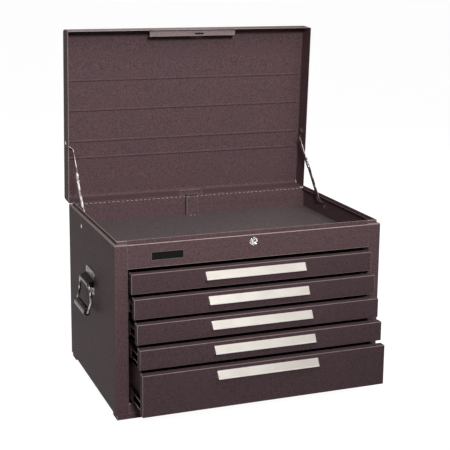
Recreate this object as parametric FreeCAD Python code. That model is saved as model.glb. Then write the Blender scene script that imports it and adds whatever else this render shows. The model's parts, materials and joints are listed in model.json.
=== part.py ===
"""Machinist tool chest in painted sheet steel, with five drawers, a till and a folding lid.

Millimetres, +X to the right, +Z up, and the drawers face -Y. The origin lies on the bench under
the middle of the front skid. The lid stands open on its two stays and the drawers are pulled out
by steps, each further than the one above. Pieces of the lid are made closed and then swung open,
and pieces of the drawers are made shut and then pulled out.
"""
import FreeCAD
import Part
import math
import os

V = FreeCAD.Vector
ORIGIN = V(0, 0, 0)
X_AXIS = V(1, 0, 0)
Y_AXIS = V(0, 1, 0)
Z_AXIS = V(0, 0, 1)

# Case
case_width = 686.0
case_depth = 457.0
rim_height = 425.0
sheet = 1.0
corner_radius = 3.0
stile_width = 32.0
stile_return = 40.0
top_rail_height = 58.0
bottom_rail_height = 26.0
rail_return = 15.0
bottom_flange = 20.0
skid_height = 13.0
skid_depth = 38.0
skid_end_inset = 3.0
skid_wall = 1.5

# Raised lip that the lid closes over
lip_inset = 7.5
lip_height = 9.1
lip_back_gap = 14.0

# Till at the top of the case
till_depth = 52.0
till_flange = 12.0
mat_thickness = 1.5
mat_margin = 0.5

# Running and fitting gaps
gap = 0.3
pin_gap = 0.05
overrun = 5.0

# Lid and its hinge
lid_height = 53.7
rim_gap = 0.3
lid_open_angle = 87.0
lid_corner_radius = 3.0
lid_bend_radius = 9.0
rib_place_shares = (0.243, 0.343, 0.526, 0.702)
rib_radius = 3.8
rib_rise = 2.0
rib_end_inset = 9.0
hinge_length = 660.0
hinge_leaf_height = 25.0
hinge_sheet = 1.0
hinge_pin_radius = 1.5
knuckle_count = 105

# Drawers
shallow_count = 4
shallow_height_share = 0.1463
face_gap = 5.6
face_top_gap = 7.0
face_bottom_gap = 6.1
face_side_gap = 2.2
face_depth = 19.0
drawer_wall = 0.9
drawer_floor_lift = 2.0
drawer_side_drop = 8.0
drawer_back_room = 30.0
drawer_travel = 370.0
pulled_out_shares = (0.057, 0.117, 0.175, 0.230, 0.284)

# Drawer pulls
pull_width = 258.0
pull_height = 18.3
pull_reach = 11.0
pull_drop = 9.5
pull_face_slope = 15.5
pull_end_bevel = 1.0
pull_wall = 1.0
pull_hem = 2.4

# Three-piece ball slides
slide_height = 36.0
slide_lift = 3.0
slide_front_gap = 1.5
slide_back_room = 46.5
slide_wall = 1.2
slide_space = 12.7
outer_flange = 6.4
ball_gap = 2.6
ball_strip_width = 4.0
post_flange = 20.0
post_inset = 5.0

# Lock in the top rail
lock_drop = 16.3
bezel_radius = 11.0
bezel_depth = 3.0
bezel_bevel = 1.0
barrel_radius = 9.4
barrel_length = 11.0
plug_radius = 6.0
plug_proud = 0.6
keyway_width = 1.6
keyway_height = 7.0
keyway_depth = 6.0
lock_nut_radius = 13.0
lock_nut_depth = 3.0
cam_thickness = 2.5
cam_hub_radius = 6.5
cam_width = 8.0
cam_reach = 36.0
cam_nose = 8.0
cam_nose_width = 5.0

# Strike inside the lid's front wall
strike_width = 241.0
strike_depth = 17.8
strike_wall = 1.2
strike_rise = 15.0
strike_lip_room = 0.6
strike_slot_start = 5.0
strike_slot_length = 26.0
strike_slot_margin = 1.0

# Bare nameplate
plate_width = 79.0
plate_height = 20.0
plate_thickness = 1.0
plate_corner = 2.0
plate_left = 88.5
plate_top_drop = 21.0

# Bar that locks the drawers when the lid shuts
bar_width = 16.0
bar_thickness = 2.0
bar_back_gap = 4.8
bar_travel = 7.0
cap_width = 34.0
cap_depth = 7.0
cap_thickness = 2.0
hook_reach = 19.0
hook_drop = 6.0
hook_wall = 1.5
catch_reach = 11.0
catch_rise = 7.0
catch_lift = 10.0
catch_half_width = 8.0
hook_clearance = 3.0
rod_radius = 3.0
rod_length = 22.0
spring_radius = 5.5
spring_bore = 4.1
channel_width = 33.0
channel_wall = 1.2
channel_depth = 13.0
channel_top_gap = 0.4
channel_tab_width = 20.0
channel_tab_reach = 7.0
guide_height = 105.0
striker_width = 64.0
striker_reach = 13.0
striker_rise = 22.0
striker_sheet = 1.0
striker_lift = 1.2
tab_rivet_radius = 2.2
tab_rivet_height = 1.2
tab_rivet_half = 5.0

# Lid stays
stay_reach = 160.0
stay_lid_rise = 30.0
stay_case_setback = 141.0
stay_case_drop = 27.0
stay_lower_length = 130.0
stay_lower_width = 13.0
stay_upper_width = 10.0
stay_thickness = 2.0
stay_foot_radius = 7.0
stay_joggle_start = 12.0
stay_joggle_end = 24.0
stay_lip_gap = 3.0
stay_tail = 22.0
tab_length = 6.0
tab_thickness = 1.5
tab_end_gap = 3.0
stay_rivet_radius = 3.0
stay_rivet_head_radius = 5.5
stay_rivet_head = 1.8
elbow_rivet_radius = 4.5
elbow_rivet_head = 1.6

# Side handles
handle_plate_width = 84.0
handle_plate_height = 60.0
handle_plate_sheet = 1.5
handle_plate_top_corner = 10.0
handle_plate_foot_corner = 9.0
handle_plate_top = 114.0
handle_standoff = 14.0
roll_radius = 5.6
roll_sheet = 1.8
roll_root_rise = 12.0
roll_root_drop = 8.0
pivot_lift = 29.0
bail_radius = 3.0
bail_top_half_width = 46.5
bail_knee_half_width = 60.0
bail_knee_drop = 39.0
bail_bottom_half_width = 56.0
bail_drop = 66.0
bail_reach = 8.0
bail_corner = 5.0
bail_pin_length = 24.0
grip_length = 98.0
grip_radius = 9.5
grip_wall = 1.2
grip_mouth_share = 0.35
handle_rivet_radius = 2.4
handle_rivet_head_radius = 4.2
handle_rivet_head = 1.4
handle_rivet_top_half = 21.0
handle_rivet_foot_half = 22.0
handle_rivet_top_inset = 10.5
handle_rivet_foot_inset = 7.5

# Places worked out from the sizes above
front = -skid_depth / 2
back = front + case_depth
middle = (front + back) / 2
side = case_width / 2
side_in = side - sheet
front_in = front + sheet
back_in = back - sheet
opening = side - stile_width
opening_top = rim_height - top_rail_height
opening_bottom = skid_height + bottom_rail_height
pan_top = skid_height + 2 * sheet
mat_top = rim_height - till_depth
till_top = mat_top - mat_thickness
till_under = till_top - sheet
flange_foot = till_under - till_flange
lip_top = rim_height + lip_height
lip_out = side - lip_inset
lip_in = lip_out - sheet
lip_front = front + lip_inset
lip_back = lip_front + sheet
lid_foot = rim_height + rim_gap
lid_top = lid_foot + lid_height
hinge_y = back_in + hinge_pin_radius + pin_gap
hinge_z = rim_height
knuckle_bore = hinge_pin_radius + pin_gap
knuckle_radius = knuckle_bore + hinge_sheet
hinge_relief = knuckle_radius + gap
leaf_front = back_in - hinge_sheet
face_half = opening - face_side_gap
shallow_face_height = shallow_height_share * (opening_top - opening_bottom)
shallow_stack = shallow_count * (shallow_face_height + face_gap)
deep_face_height = (opening_top - face_top_gap) - shallow_stack - (opening_bottom + face_bottom_gap)
box_front = front + face_depth
box_half = opening - slide_space
box_back = back - drawer_back_room
slide_front = box_front + slide_front_gap
slide_back = back - slide_back_room
lock_z = rim_height - lock_drop
bar_back = back_in - bar_back_gap
bar_front = bar_back - bar_thickness
channel_front = back_in - channel_depth
striker_foot = rim_height + striker_lift
cap_top = striker_foot - gap + bar_travel
cap_foot = cap_top - cap_thickness
pulled_out = [share * drawer_travel for share in pulled_out_shares]


def block(xs, ys, zs):
    """A box between two corners, given as a pair of limits for each axis."""
    low = V(min(xs), min(ys), min(zs))
    return Part.makeBox(max(xs) - low.x, max(ys) - low.y, max(zs) - low.z, low)


def rod(start, end, radius):
    """A round bar between two points."""
    run = end.sub(start)
    return Part.makeCylinder(radius, run.Length, start, run)


def polygon_face(points):
    """A flat face with the given corners."""
    return Part.Face(Part.makePolygon(points + points[:1]))


def rounded(shape, radius, wanted):
    """The shape with the straight edges that pass a test rounded."""
    edges = [edge for edge in shape.Edges if wanted(edge)]
    return shape.makeFillet(radius, edges)


def runs_along(edge, axis):
    """True for a straight edge that is parallel to an axis."""
    run = edge.Vertexes[-1].Point.sub(edge.Vertexes[0].Point)
    return run.Length > 0 and abs(run.normalize().dot(axis)) > math.cos(math.radians(1))


def fused(shapes):
    """One solid from pieces that touch."""
    return shapes[0].multiFuse(shapes[1:]).removeSplitter()


def group(shapes):
    """Separate solids kept together in one node."""
    return Part.makeCompound(shapes)


def mirrored(shape):
    """The same piece on the other side of the chest."""
    return shape.mirror(ORIGIN, X_AXIS)


def both_sides(shape):
    """A piece and its mirror image."""
    return [shape, mirrored(shape)]


def moved(shape, x=0.0, y=0.0, z=0.0):
    """A copy of a shape, shifted."""
    copy = shape.copy()
    copy.translate(V(x, y, z))
    return copy


def opened(shape):
    """A piece of the closed lid, swung open about the hinge pin."""
    copy = shape.copy()
    copy.rotate(V(0, hinge_y, hinge_z), X_AXIS, -lid_open_angle)
    return copy


def dome(center, outward, radius, height):
    """A low rivet head: the cap of a sphere that stands on a flat face."""
    ball_radius = (radius ** 2 + height ** 2) / (2 * height)
    ball_center = center.add(V(outward).multiply(height - ball_radius))
    ball = Part.makeSphere(ball_radius, ball_center)
    slab = Part.makeCylinder(radius + overrun, height + overrun, center, outward)
    return ball.common(slab)


def headed_rivet(start, end, radius, head_radius, head_height, tail_radius, tail_height):
    """A rivet: its shank from start to end, a domed head past start and a domed tail past end."""
    along = end.sub(start).normalize()
    against = V(along).multiply(-1)
    shank = rod(start, end, radius)
    head = dome(start, against, head_radius, head_height)
    tail = dome(end, along, tail_radius, tail_height)
    return fused([shank, head, tail])


# The case is one wrapped sheet: back, sides, and stiles turned in at the front


def case_shell():
    """Back, sides and stiles in one sheet, with the rim, the side lips and the bottom flange."""
    upright = lambda edge: runs_along(edge, Z_AXIS)
    outside = block((-side, side), (front, back), (skid_height, rim_height))
    outside = rounded(outside, corner_radius, upright)
    inside = block((-side_in, side_in), (front_in, back_in), (skid_height - overrun, rim_height + overrun))
    inside = rounded(inside, corner_radius - sheet, upright)
    doorway = block((-opening, opening), (front - overrun, front_in + corner_radius),
                    (skid_height - overrun, rim_height + overrun))
    walls = outside.cut(group([inside, doorway]))
    parts = [walls]
    rim_span = (rim_height - sheet, rim_height)
    lip_span = (rim_height - sheet, lip_top)
    floor_span = (skid_height, skid_height + sheet)
    inner = side_in - bottom_flange
    side_pieces = [
        block((lip_in, side_in), (front_in, back_in), rim_span),
        block((lip_in, lip_out), (lip_front, back - lip_back_gap), lip_span),
        block((opening, side_in), (front_in, lip_back), rim_span),
        block((opening, lip_out), (lip_front, lip_back), lip_span),
        block((opening, opening + sheet), (front_in, front_in + stile_return), (opening_bottom, opening_top)),
        block((inner, side_in), (front_in, back_in), floor_span),
    ]
    for piece in side_pieces:
        parts += both_sides(piece)
    parts.append(block((-side_in, side_in), (back_in - bottom_flange, back_in), floor_span))
    shell = fused(parts)
    hinge_half = hinge_length / 2 + gap
    hinge_room = block((-hinge_half, hinge_half), (leaf_front, back + overrun),
                       (hinge_z - hinge_relief, hinge_z + overrun))
    bores = [stay_case_bore()] + handle_rivet_bores()
    cuts = [hinge_room]
    for bore in bores:
        cuts += both_sides(bore)
    return shell.cut(group(cuts))


def top_rail():
    """The panel above the drawers, with its lip, its flanges and the hole for the lock."""
    face = block((-opening, opening), (front, front_in), (opening_top, rim_height))
    rim = block((-opening, opening), (front_in, lip_back), (rim_height - sheet, rim_height))
    lip = block((-opening, opening), (lip_front, lip_back), (rim_height - sheet, lip_top))
    foot = block((-opening, opening), (front_in, front_in + rail_return), (opening_top, opening_top + sheet))
    hole = rod(V(0, front - overrun, lock_z), V(0, front_in + overrun, lock_z), barrel_radius)
    return fused([face, rim, lip, foot]).cut(hole)


def bottom_rail():
    """The narrow panel under the drawers."""
    face = block((-opening, opening), (front, front_in), (skid_height, opening_bottom))
    ledge = block((-opening, opening), (front_in, front_in + rail_return),
                  (opening_bottom - sheet, opening_bottom))
    foot = block((-opening, opening), (front_in, front_in + rail_return), (skid_height, skid_height + sheet))
    return fused([face, ledge, foot])


def case_room(z_low, z_high):
    """The room inside the case's walls, with its rounded corners."""
    room = block((-side_in, side_in), (front_in, back_in), (z_low, z_high))
    return rounded(room, corner_radius - sheet, lambda edge: runs_along(edge, Z_AXIS))


def bottom_pan():
    """The sheet that closes the case underneath."""
    return case_room(skid_height + sheet, pan_top)


def skid(y_low):
    """A shallow steel trough across the underside, open at the top."""
    half = side - skid_end_inset
    outside = block((-half, half), (y_low, y_low + skid_depth), (0, skid_height))
    inside = block((skid_wall - half, half - skid_wall), (y_low + skid_wall, y_low + skid_depth - skid_wall),
                   (skid_wall, skid_height + overrun))
    return outside.cut(inside)


def skids():
    """The front and rear skids that the chest stands on."""
    return group([skid(front), skid(back - skid_depth)])


def bar_slot(z_low, z_high, margin):
    """The room that the lock bar needs to pass through a plate."""
    half = bar_width / 2 + margin
    return block((-half, half), (bar_front - margin, bar_back + margin), (z_low, z_high))


def till_floor():
    """The floor of the till, with flanges turned down against the case walls."""
    parts = [block((-side_in, side_in), (front_in, back_in), (till_under, till_top))]
    parts += both_sides(block((side_in - sheet, side_in), (front_in + stile_return, back_in),
                              (flange_foot, till_under)))
    parts.append(block((-side_in, side_in), (back_in - sheet, back_in), (flange_foot, till_under)))
    tray = fused(parts).common(case_room(flange_foot, till_top))
    return tray.cut(bar_slot(till_under - overrun, till_top + overrun, gap))


def till_mat():
    """The thin mat on the till's floor, cut out round the guide channel."""
    half = side_in - mat_margin
    mat = block((-half, half), (front_in + mat_margin, back_in - mat_margin), (till_top, mat_top))
    mat = rounded(mat, corner_radius, lambda edge: runs_along(edge, Z_AXIS))
    zs = (till_top - overrun, mat_top + overrun)
    notch_half = channel_width / 2 + mat_margin
    notch = block((-notch_half, notch_half), (channel_front - mat_margin, back), zs)
    tab_half = channel_tab_width / 2 + mat_margin
    tab_front = channel_front - channel_tab_reach - mat_margin
    tab_notch = block((-tab_half, tab_half), (tab_front, back), zs)
    return mat.cut(group([notch, tab_notch]))


def slide_posts():
    """Z-shaped uprights that carry the rear ends of the slides."""
    bend = slide_back - post_inset - post_flange
    start = bend - post_flange
    zs = (pan_top, flange_foot)
    post = fused([
        block((side_in - sheet, side_in), (start, bend), zs),
        block((opening, side_in), (bend - sheet, bend), zs),
        block((opening, opening + sheet), (bend - sheet, bend + post_flange), zs),
    ])
    return group(both_sides(post))


# The lid, made closed over the case


def lid_block(half, ys, top, bend, corner):
    """A block whose long top edges are bent round, and whose ends and upright corners are rounded."""
    shape = block((-half, half), ys, (lid_foot, top))
    shape = rounded(shape, bend, lambda edge: runs_along(edge, X_AXIS) and edge.CenterOfMass.z > top - gap)
    at_end = lambda edge: abs(edge.CenterOfMass.x) > half - gap and edge.BoundBox.ZMax > lid_foot + gap
    return rounded(shape, corner, at_end)


def lid_shell():
    """The lid: a shallow box with pressed ribs across its panel."""
    outside = lid_block(side, (front, back), lid_top, lid_bend_radius, lid_corner_radius)
    inside = lid_block(side_in, (front_in, back_in), lid_top - sheet, lid_bend_radius - sheet,
                       lid_corner_radius - sheet)
    below = block((-side_in, side_in), (front_in, back_in), (lid_foot - overrun, lid_foot + lid_corner_radius))
    below = rounded(below, lid_corner_radius - sheet, lambda edge: runs_along(edge, Z_AXIS))
    shell = outside.cut(group([inside, below]))
    ribs = []
    grooves = []
    rib_half = side - rib_end_inset
    for share in rib_place_shares:
        y = hinge_y - share * case_depth
        rib_z = lid_top - sheet - rib_rise + rib_radius
        start = V(-rib_half, y, rib_z)
        end = V(rib_half, y, rib_z)
        ribs.append(rod(start, end, rib_radius))
        grooves.append(rod(start.add(V(sheet, 0, 0)), end.sub(V(sheet, 0, 0)), rib_radius - sheet))
    above = block((-side - overrun, side + overrun), (front - overrun, back + overrun),
                  (lid_top - sheet / 2, lid_top + overrun))
    ribs = [rib.cut(above) for rib in ribs]
    shell = fused([shell] + ribs).cut(group(grooves))
    hinge_half = hinge_length / 2 + gap
    hinge_room = block((-hinge_half, hinge_half), (leaf_front, back + overrun),
                       (lid_foot - overrun, hinge_z + hinge_relief))
    return shell.cut(group([hinge_room] + both_sides(stay_lid_bore())))


def knuckle_limits(number):
    """Where one knuckle of the hinge starts and ends along X."""
    pitch = hinge_length / knuckle_count
    start = number * pitch - hinge_length / 2
    return start, start + pitch


def hinge_leaf(for_lid):
    """One leaf of the long hinge: a strip with every other knuckle rolled round the pin."""
    half = hinge_length / 2
    reach = hinge_leaf_height if for_lid else -hinge_leaf_height
    strip = block((-half, half), (leaf_front, back_in), (hinge_z, hinge_z + reach))
    barrel = rod(V(-half, hinge_y, hinge_z), V(half, hinge_y, hinge_z), knuckle_radius)
    leaf = fused([strip, barrel])
    cuts = [rod(V(-half - overrun, hinge_y, hinge_z), V(half + overrun, hinge_y, hinge_z), knuckle_bore)]
    for number in range(knuckle_count):
        if (number % 2 == 1) == for_lid:
            continue
        start, end = knuckle_limits(number)
        low = start - gap / 2 if number else start - overrun
        high = end + gap / 2 if number < knuckle_count - 1 else end + overrun
        cuts.append(block((low, high), (leaf_front - overrun, hinge_y + overrun),
                          (hinge_z - hinge_relief, hinge_z + hinge_relief)))
    return leaf.cut(group(cuts))


def hinge_pin():
    """The wire that both leaves turn on."""
    half = hinge_length / 2
    return rod(V(-half, hinge_y, hinge_z), V(half, hinge_y, hinge_z), hinge_pin_radius)


def lid_strike():
    """The channel inside the lid's front wall that the lock's cam catches in."""
    half = strike_width / 2
    foot = lip_top + strike_lip_room
    inner = front_in + strike_depth
    shelf = block((-half, half), (front_in, inner), (foot, foot + strike_wall))
    wall_side = block((-half, half), (front_in, front_in + strike_wall), (foot, foot + strike_rise))
    till_side = block((-half, half), (inner - strike_wall, inner), (foot, foot + strike_rise))
    cam_y = cam_limits()
    slot = block((strike_slot_start, strike_slot_start + strike_slot_length),
                 (cam_y[0] - strike_slot_margin, cam_y[1] + strike_slot_margin),
                 (foot - overrun, foot + strike_wall + gap))
    return fused([shelf, wall_side, till_side]).cut(slot)


def lock_bar_striker():
    """The angle on the lid that pushes the lock bar down as the lid shuts."""
    half = striker_width / 2
    plate = block((-half, half), (leaf_front - striker_sheet, leaf_front),
                  (striker_foot, striker_foot + striker_rise))
    toe = block((-half, half), (leaf_front - striker_reach, leaf_front),
                (striker_foot, striker_foot + striker_sheet))
    return fused([plate, toe])


# The lock in the top rail


def lock_housing():
    """The lock's bezel and barrel, and the nut that holds them in the rail."""
    bezel = rod(V(0, front, lock_z), V(0, front - bezel_depth, lock_z), bezel_radius)
    rim_edge = [edge for edge in bezel.Edges if edge.Closed and edge.CenterOfMass.y < front - bezel_depth / 2]
    bezel = bezel.makeChamfer(bezel_bevel, rim_edge)
    barrel = rod(V(0, front, lock_z), V(0, front + barrel_length, lock_z), barrel_radius)
    bore = rod(V(0, front - bezel_depth - overrun, lock_z), V(0, front + barrel_length + overrun, lock_z),
               plug_radius + pin_gap)
    housing = fused([bezel, barrel]).cut(bore)
    corners = []
    for turn in range(6):
        angle = math.radians(60 * turn)
        corners.append(V(lock_nut_radius * math.cos(angle), front_in, lock_z + lock_nut_radius * math.sin(angle)))
    nut = polygon_face(corners).extrude(V(0, lock_nut_depth, 0))
    nut = nut.cut(rod(V(0, front, lock_z), V(0, front + barrel_length, lock_z), barrel_radius))
    return group([housing, nut])


def cam_limits():
    """Where the lock's cam starts and ends along Y."""
    start = front + barrel_length + gap
    return start, start + cam_thickness


def lock_plug():
    """The part of the lock that the key turns, with its keyway."""
    start = front - bezel_depth - plug_proud
    plug = rod(V(0, start, lock_z), V(0, cam_limits()[0], lock_z), plug_radius)
    keyway = block((-keyway_width / 2, keyway_width / 2), (start - overrun, start + keyway_depth),
                   (lock_z - keyway_height / 2, lock_z + keyway_height / 2))
    return plug.cut(keyway)


def lock_cam():
    """The hooked plate behind the plug, turned aside as it is with the chest unlocked."""
    ys = cam_limits()
    hub = rod(V(0, ys[0], lock_z), V(0, ys[1], lock_z), cam_hub_radius)
    arm = block((0, cam_reach), ys, (lock_z - cam_width / 2, lock_z + cam_width / 2))
    nose = block((cam_reach - cam_nose_width, cam_reach), ys,
                 (lock_z + cam_width / 2, lock_z + cam_width / 2 + cam_nose))
    return fused([hub, arm, nose])


def nameplate():
    """The small plate at the left of the top rail, with nothing on it."""
    left = -side + plate_left
    top = rim_height - plate_top_drop
    plate = block((left, left + plate_width), (front - plate_thickness, front), (top - plate_height, top))
    return rounded(plate, plate_corner, lambda edge: runs_along(edge, Y_AXIS))


# Drawers, counted from the top and made shut


def face_span(number):
    """The bottom and top of a drawer's face."""
    top = opening_top - face_top_gap - number * (shallow_face_height + face_gap)
    height = shallow_face_height if number < shallow_count else deep_face_height
    return top - height, top


def drawer_front(number):
    """The drawer's outer face, a pan whose flanges run back to the box."""
    bottom, top = face_span(number)
    outside = block((-face_half, face_half), (front, box_front), (bottom, top))
    inside = block((sheet - face_half, face_half - sheet), (front_in, box_front + overrun),
                   (bottom + sheet, top - sheet))
    return outside.cut(inside)


def drawer_box(number):
    """The drawer's tray, its front wall set in the face, and the catch on its back."""
    bottom, top = face_span(number)
    foot = bottom + drawer_floor_lift
    head = top - drawer_side_drop
    front_half = face_half - sheet
    front_wall = block((-front_half, front_half), (box_front - drawer_wall, box_front),
                       (bottom + sheet, top - sheet))
    outside = block((-box_half, box_half), (box_front - drawer_wall, box_back), (foot, head))
    inside = block((drawer_wall - box_half, box_half - drawer_wall), (box_front, box_back - drawer_wall),
                   (foot + drawer_wall, head + overrun))
    catch_z = foot + catch_lift
    ledge = block((-catch_half_width, catch_half_width), (box_back, box_back + catch_reach),
                  (catch_z, catch_z + hook_wall))
    lip = block((-catch_half_width, catch_half_width), (box_back + catch_reach - hook_wall, box_back + catch_reach),
                (catch_z, catch_z + catch_rise))
    return fused([front_wall, outside, ledge, lip]).cut(inside)


def rectangle(half_width, y, bottom, top):
    """A closed outline in a plane square to Y."""
    corners = [V(-half_width, y, bottom), V(half_width, y, bottom), V(half_width, y, top), V(-half_width, y, top)]
    return Part.makePolygon(corners + corners[:1])


def drawer_pull(number):
    """A pressed pull whose face slopes out to its foot, open below, its lower edge turned in."""
    top = face_span(number)[1] - pull_drop
    bottom = top - pull_height
    half = pull_width / 2
    tip = front - pull_reach
    outside = Part.makeLoft([
        rectangle(half, front, bottom, top),
        rectangle(half - pull_end_bevel, tip, bottom, top - pull_face_slope),
    ], True, True)
    inside = Part.makeLoft([
        rectangle(half - pull_wall, front, bottom - overrun, top - pull_wall),
        rectangle(half - pull_end_bevel - pull_wall, tip + pull_wall, bottom - overrun,
                  top - pull_face_slope - pull_wall),
    ], True, True)
    hem_half = half - pull_end_bevel
    hem = block((-hem_half, hem_half), (tip, tip + pull_hem), (bottom, bottom + pull_wall))
    return fused([outside.cut(inside), hem])


def slide_foot(number):
    """The bottom of the slides of a drawer."""
    return face_span(number)[0] + slide_lift


def c_rail(x_web, x_tip, foot, height):
    """A rail of C section: a web at one side and two flanges that reach to the other."""
    ys = (slide_front, slide_back)
    inward = 1 if x_tip > x_web else -1
    web = block((x_web, x_web + inward * slide_wall), ys, (foot, foot + height))
    low = block((x_web, x_tip), ys, (foot, foot + slide_wall))
    high = block((x_web, x_tip), ys, (foot + height - slide_wall, foot + height))
    return fused([web, low, high])


def middle_foot(number):
    """The bottom of the middle rail, which runs on balls inside the outer rail."""
    return slide_foot(number) + slide_wall + ball_gap


def outer_rail(number):
    """The rail fixed to the case, left side."""
    return c_rail(-opening, -opening + slide_wall + outer_flange, slide_foot(number), slide_height)


def middle_rail(number):
    """The middle rail and the strips that hold its balls, left side."""
    foot = middle_foot(number)
    height = slide_height - 2 * (slide_wall + ball_gap)
    web = -opening + slide_wall + gap
    tip = -box_half - slide_wall - gap
    rail = c_rail(web, tip, foot, height)
    ys = (slide_front, slide_back)
    strip = ball_gap - gap
    outer_xs = (web + slide_wall, web + slide_wall + ball_strip_width)
    inner_xs = (tip - ball_strip_width, tip)
    head = foot + height
    low_in = foot + slide_wall
    high_in = head - slide_wall
    return [
        rail,
        block(outer_xs, ys, (foot - strip, foot)),
        block(outer_xs, ys, (head, head + strip)),
        block(inner_xs, ys, (low_in, low_in + strip)),
        block(inner_xs, ys, (high_in - strip, high_in)),
    ]


def drawer_rail(number):
    """The rail fixed to the drawer's side, left side."""
    foot = middle_foot(number) + slide_wall + ball_gap
    height = slide_height - 4 * (slide_wall + ball_gap)
    web = -box_half
    tip = -opening + 2 * (slide_wall + gap) + gap
    return c_rail(web, tip, foot, height)


def slide_case_rails():
    """The ten rails that stay in the case."""
    rails = []
    for number in range(shallow_count + 1):
        rails += both_sides(outer_rail(number))
    return group(rails)


# The bar that holds the shut drawers


def hook_span(number):
    """The bottom and top of the bar's hook for a drawer, with the bar up."""
    catch_top = face_span(number)[0] + drawer_floor_lift + catch_lift + catch_rise
    return catch_top + hook_clearance, catch_top + hook_clearance + hook_drop


def bar_shoulder():
    """The height at which the bar narrows to its rod."""
    return hook_span(shallow_count)[0] - rod_length


def lock_bar():
    """The sliding bar with its cap, a hook for each drawer and the rod for its spring."""
    half = bar_width / 2
    shoulder = bar_shoulder()
    parts = [block((-half, half), (bar_front, bar_back), (shoulder, cap_foot))]
    cap_half = cap_width / 2
    cap_middle = (bar_front + bar_back) / 2
    parts.append(block((-cap_half, cap_half), (cap_middle - cap_depth / 2, cap_middle + cap_depth / 2),
                       (cap_foot, cap_top)))
    for number in range(shallow_count + 1):
        low, high = hook_span(number)
        parts.append(block((-half, half), (bar_back - hook_reach, bar_front), (high - hook_wall, high)))
        parts.append(block((-half, half), (bar_back - hook_reach, bar_back - hook_reach + hook_wall), (low, high)))
    parts.append(rod(V(0, cap_middle, shoulder - rod_length), V(0, cap_middle, shoulder), rod_radius))
    return fused(parts)


def lock_bar_spring():
    """The spring under the bar, drawn as the tube that its coils fill."""
    cap_middle = (bar_front + bar_back) / 2
    start = V(0, cap_middle, pan_top)
    end = V(0, cap_middle, bar_shoulder())
    return rod(start, end, spring_radius).cut(rod(start, end, spring_bore))


def lock_bar_guides():
    """The channel that covers the bar in the till, its riveted tab, and the guide low in the case."""
    half = channel_width / 2
    top = cap_foot - bar_travel - channel_top_gap
    leaf_foot = hinge_z - hinge_leaf_height
    face = block((-half, half), (channel_front, channel_front + channel_wall), (till_top, top))
    sides = both_sides(block((half - channel_wall, half), (channel_front, leaf_front), (till_top, top)))
    feet = both_sides(block((half - channel_wall, half), (channel_front, back_in), (till_top, leaf_foot - gap)))
    tab_half = channel_tab_width / 2
    tab = block((-tab_half, tab_half), (channel_front - channel_tab_reach, channel_front + channel_wall),
                (till_top, till_top + channel_wall))
    channel = fused([face, tab] + sides + feet)
    rivet_y = channel_front - channel_tab_reach / 2
    rivets = both_sides(dome(V(-tab_rivet_half, rivet_y, till_top + channel_wall), Z_AXIS, tab_rivet_radius,
                             tab_rivet_height))
    guide = block((-half, half), (bar_front - hook_wall, back_in), (guide_height, guide_height + channel_wall))
    guide = guide.cut(bar_slot(guide_height - overrun, guide_height + overrun, gap))
    return group([channel, guide] + rivets)


# Lid stays: two flat links on each side, made for the left side


def lid_place(reach, rise, swing):
    """Where a point of the lid lies when the lid is swung open by an angle."""
    angle = math.radians(swing)
    y = hinge_y - reach * math.cos(angle) + rise * math.sin(angle)
    z = hinge_z + reach * math.sin(angle) + rise * math.cos(angle)
    return V(0, y, z)


stay_foot = V(0, back - stay_case_setback, rim_height - stay_case_drop)
stay_head = lid_place(stay_reach, stay_lid_rise, lid_open_angle)
stay_head_shut = lid_place(stay_reach, stay_lid_rise, 0)
stay_span = stay_head.sub(stay_foot)
stay_upper_length = stay_span.Length - stay_lower_length
stay_angle = math.degrees(math.atan2(stay_span.z, stay_span.y))
stay_outer_x = -side_in + gap
stay_lower_x = -lip_in + stay_lip_gap
stay_upper_x = stay_lower_x + stay_thickness + gap


def shut_elbow():
    """Where the elbow lies with the lid shut, from the lengths of the two links."""
    reach = stay_head_shut.sub(stay_foot)
    cosine = (stay_lower_length ** 2 + reach.Length ** 2 - stay_upper_length ** 2) / (
        2 * stay_lower_length * reach.Length)
    angle = math.atan2(reach.z, reach.y) + math.acos(cosine)
    return stay_foot.add(V(0, stay_lower_length * math.cos(angle), stay_lower_length * math.sin(angle)))


def swing_of(start, end):
    """The direction from one point to another, in degrees from +Y towards +Z."""
    run = end.sub(start)
    return math.degrees(math.atan2(run.z, run.y))


def link(x_main, width, length, tail):
    """A flat link along +Y: a foot by the wall, a joggle, and the straight part past the elbow."""
    outer = (stay_outer_x, stay_outer_x + stay_thickness)
    main = (x_main, x_main + stay_thickness)
    half = width / 2
    foot = rod(V(outer[0], 0, 0), V(outer[1], 0, 0), stay_foot_radius)
    strap = block(outer, (0, stay_joggle_start), (-half, half))
    corners = [
        V(outer[0], stay_joggle_start, -half),
        V(outer[1], stay_joggle_start, -half),
        V(main[1], stay_joggle_end, -half),
        V(main[0], stay_joggle_end, -half),
    ]
    joggle = polygon_face(corners).extrude(V(0, 0, width))
    straight = block(main, (stay_joggle_end, length + tail), (-half, half))
    end = rod(V(main[0], length + tail, 0), V(main[1], length + tail, 0), half)
    body = fused([foot, strap, joggle, straight, end])
    bore = rod(V(outer[0] - overrun, 0, 0), V(outer[1] + overrun, 0, 0), stay_rivet_radius + pin_gap)
    return body.cut(bore)


def placed_link(shape, pivot, angle):
    """A link turned about its foot and set on its rivet."""
    shape.rotate(ORIGIN, X_AXIS, angle)
    shape.translate(pivot)
    return shape


def stay_lower():
    """The link on the case, with its half of the elbow rivet and the tab that stops the elbow."""
    body = link(stay_lower_x, stay_lower_width, stay_lower_length, stay_tail)
    head = dome(V(stay_lower_x, stay_lower_length, 0), V(-1, 0, 0), elbow_rivet_radius, elbow_rivet_head)
    edge = stay_upper_width / 2 + gap
    tab_end = stay_lower_length + stay_tail - tab_end_gap
    tab = block((stay_lower_x, stay_upper_x + stay_thickness), (tab_end - tab_length, tab_end),
                (edge, edge + tab_thickness))
    return placed_link(fused([body, head, tab]), stay_foot, stay_angle)


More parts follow.
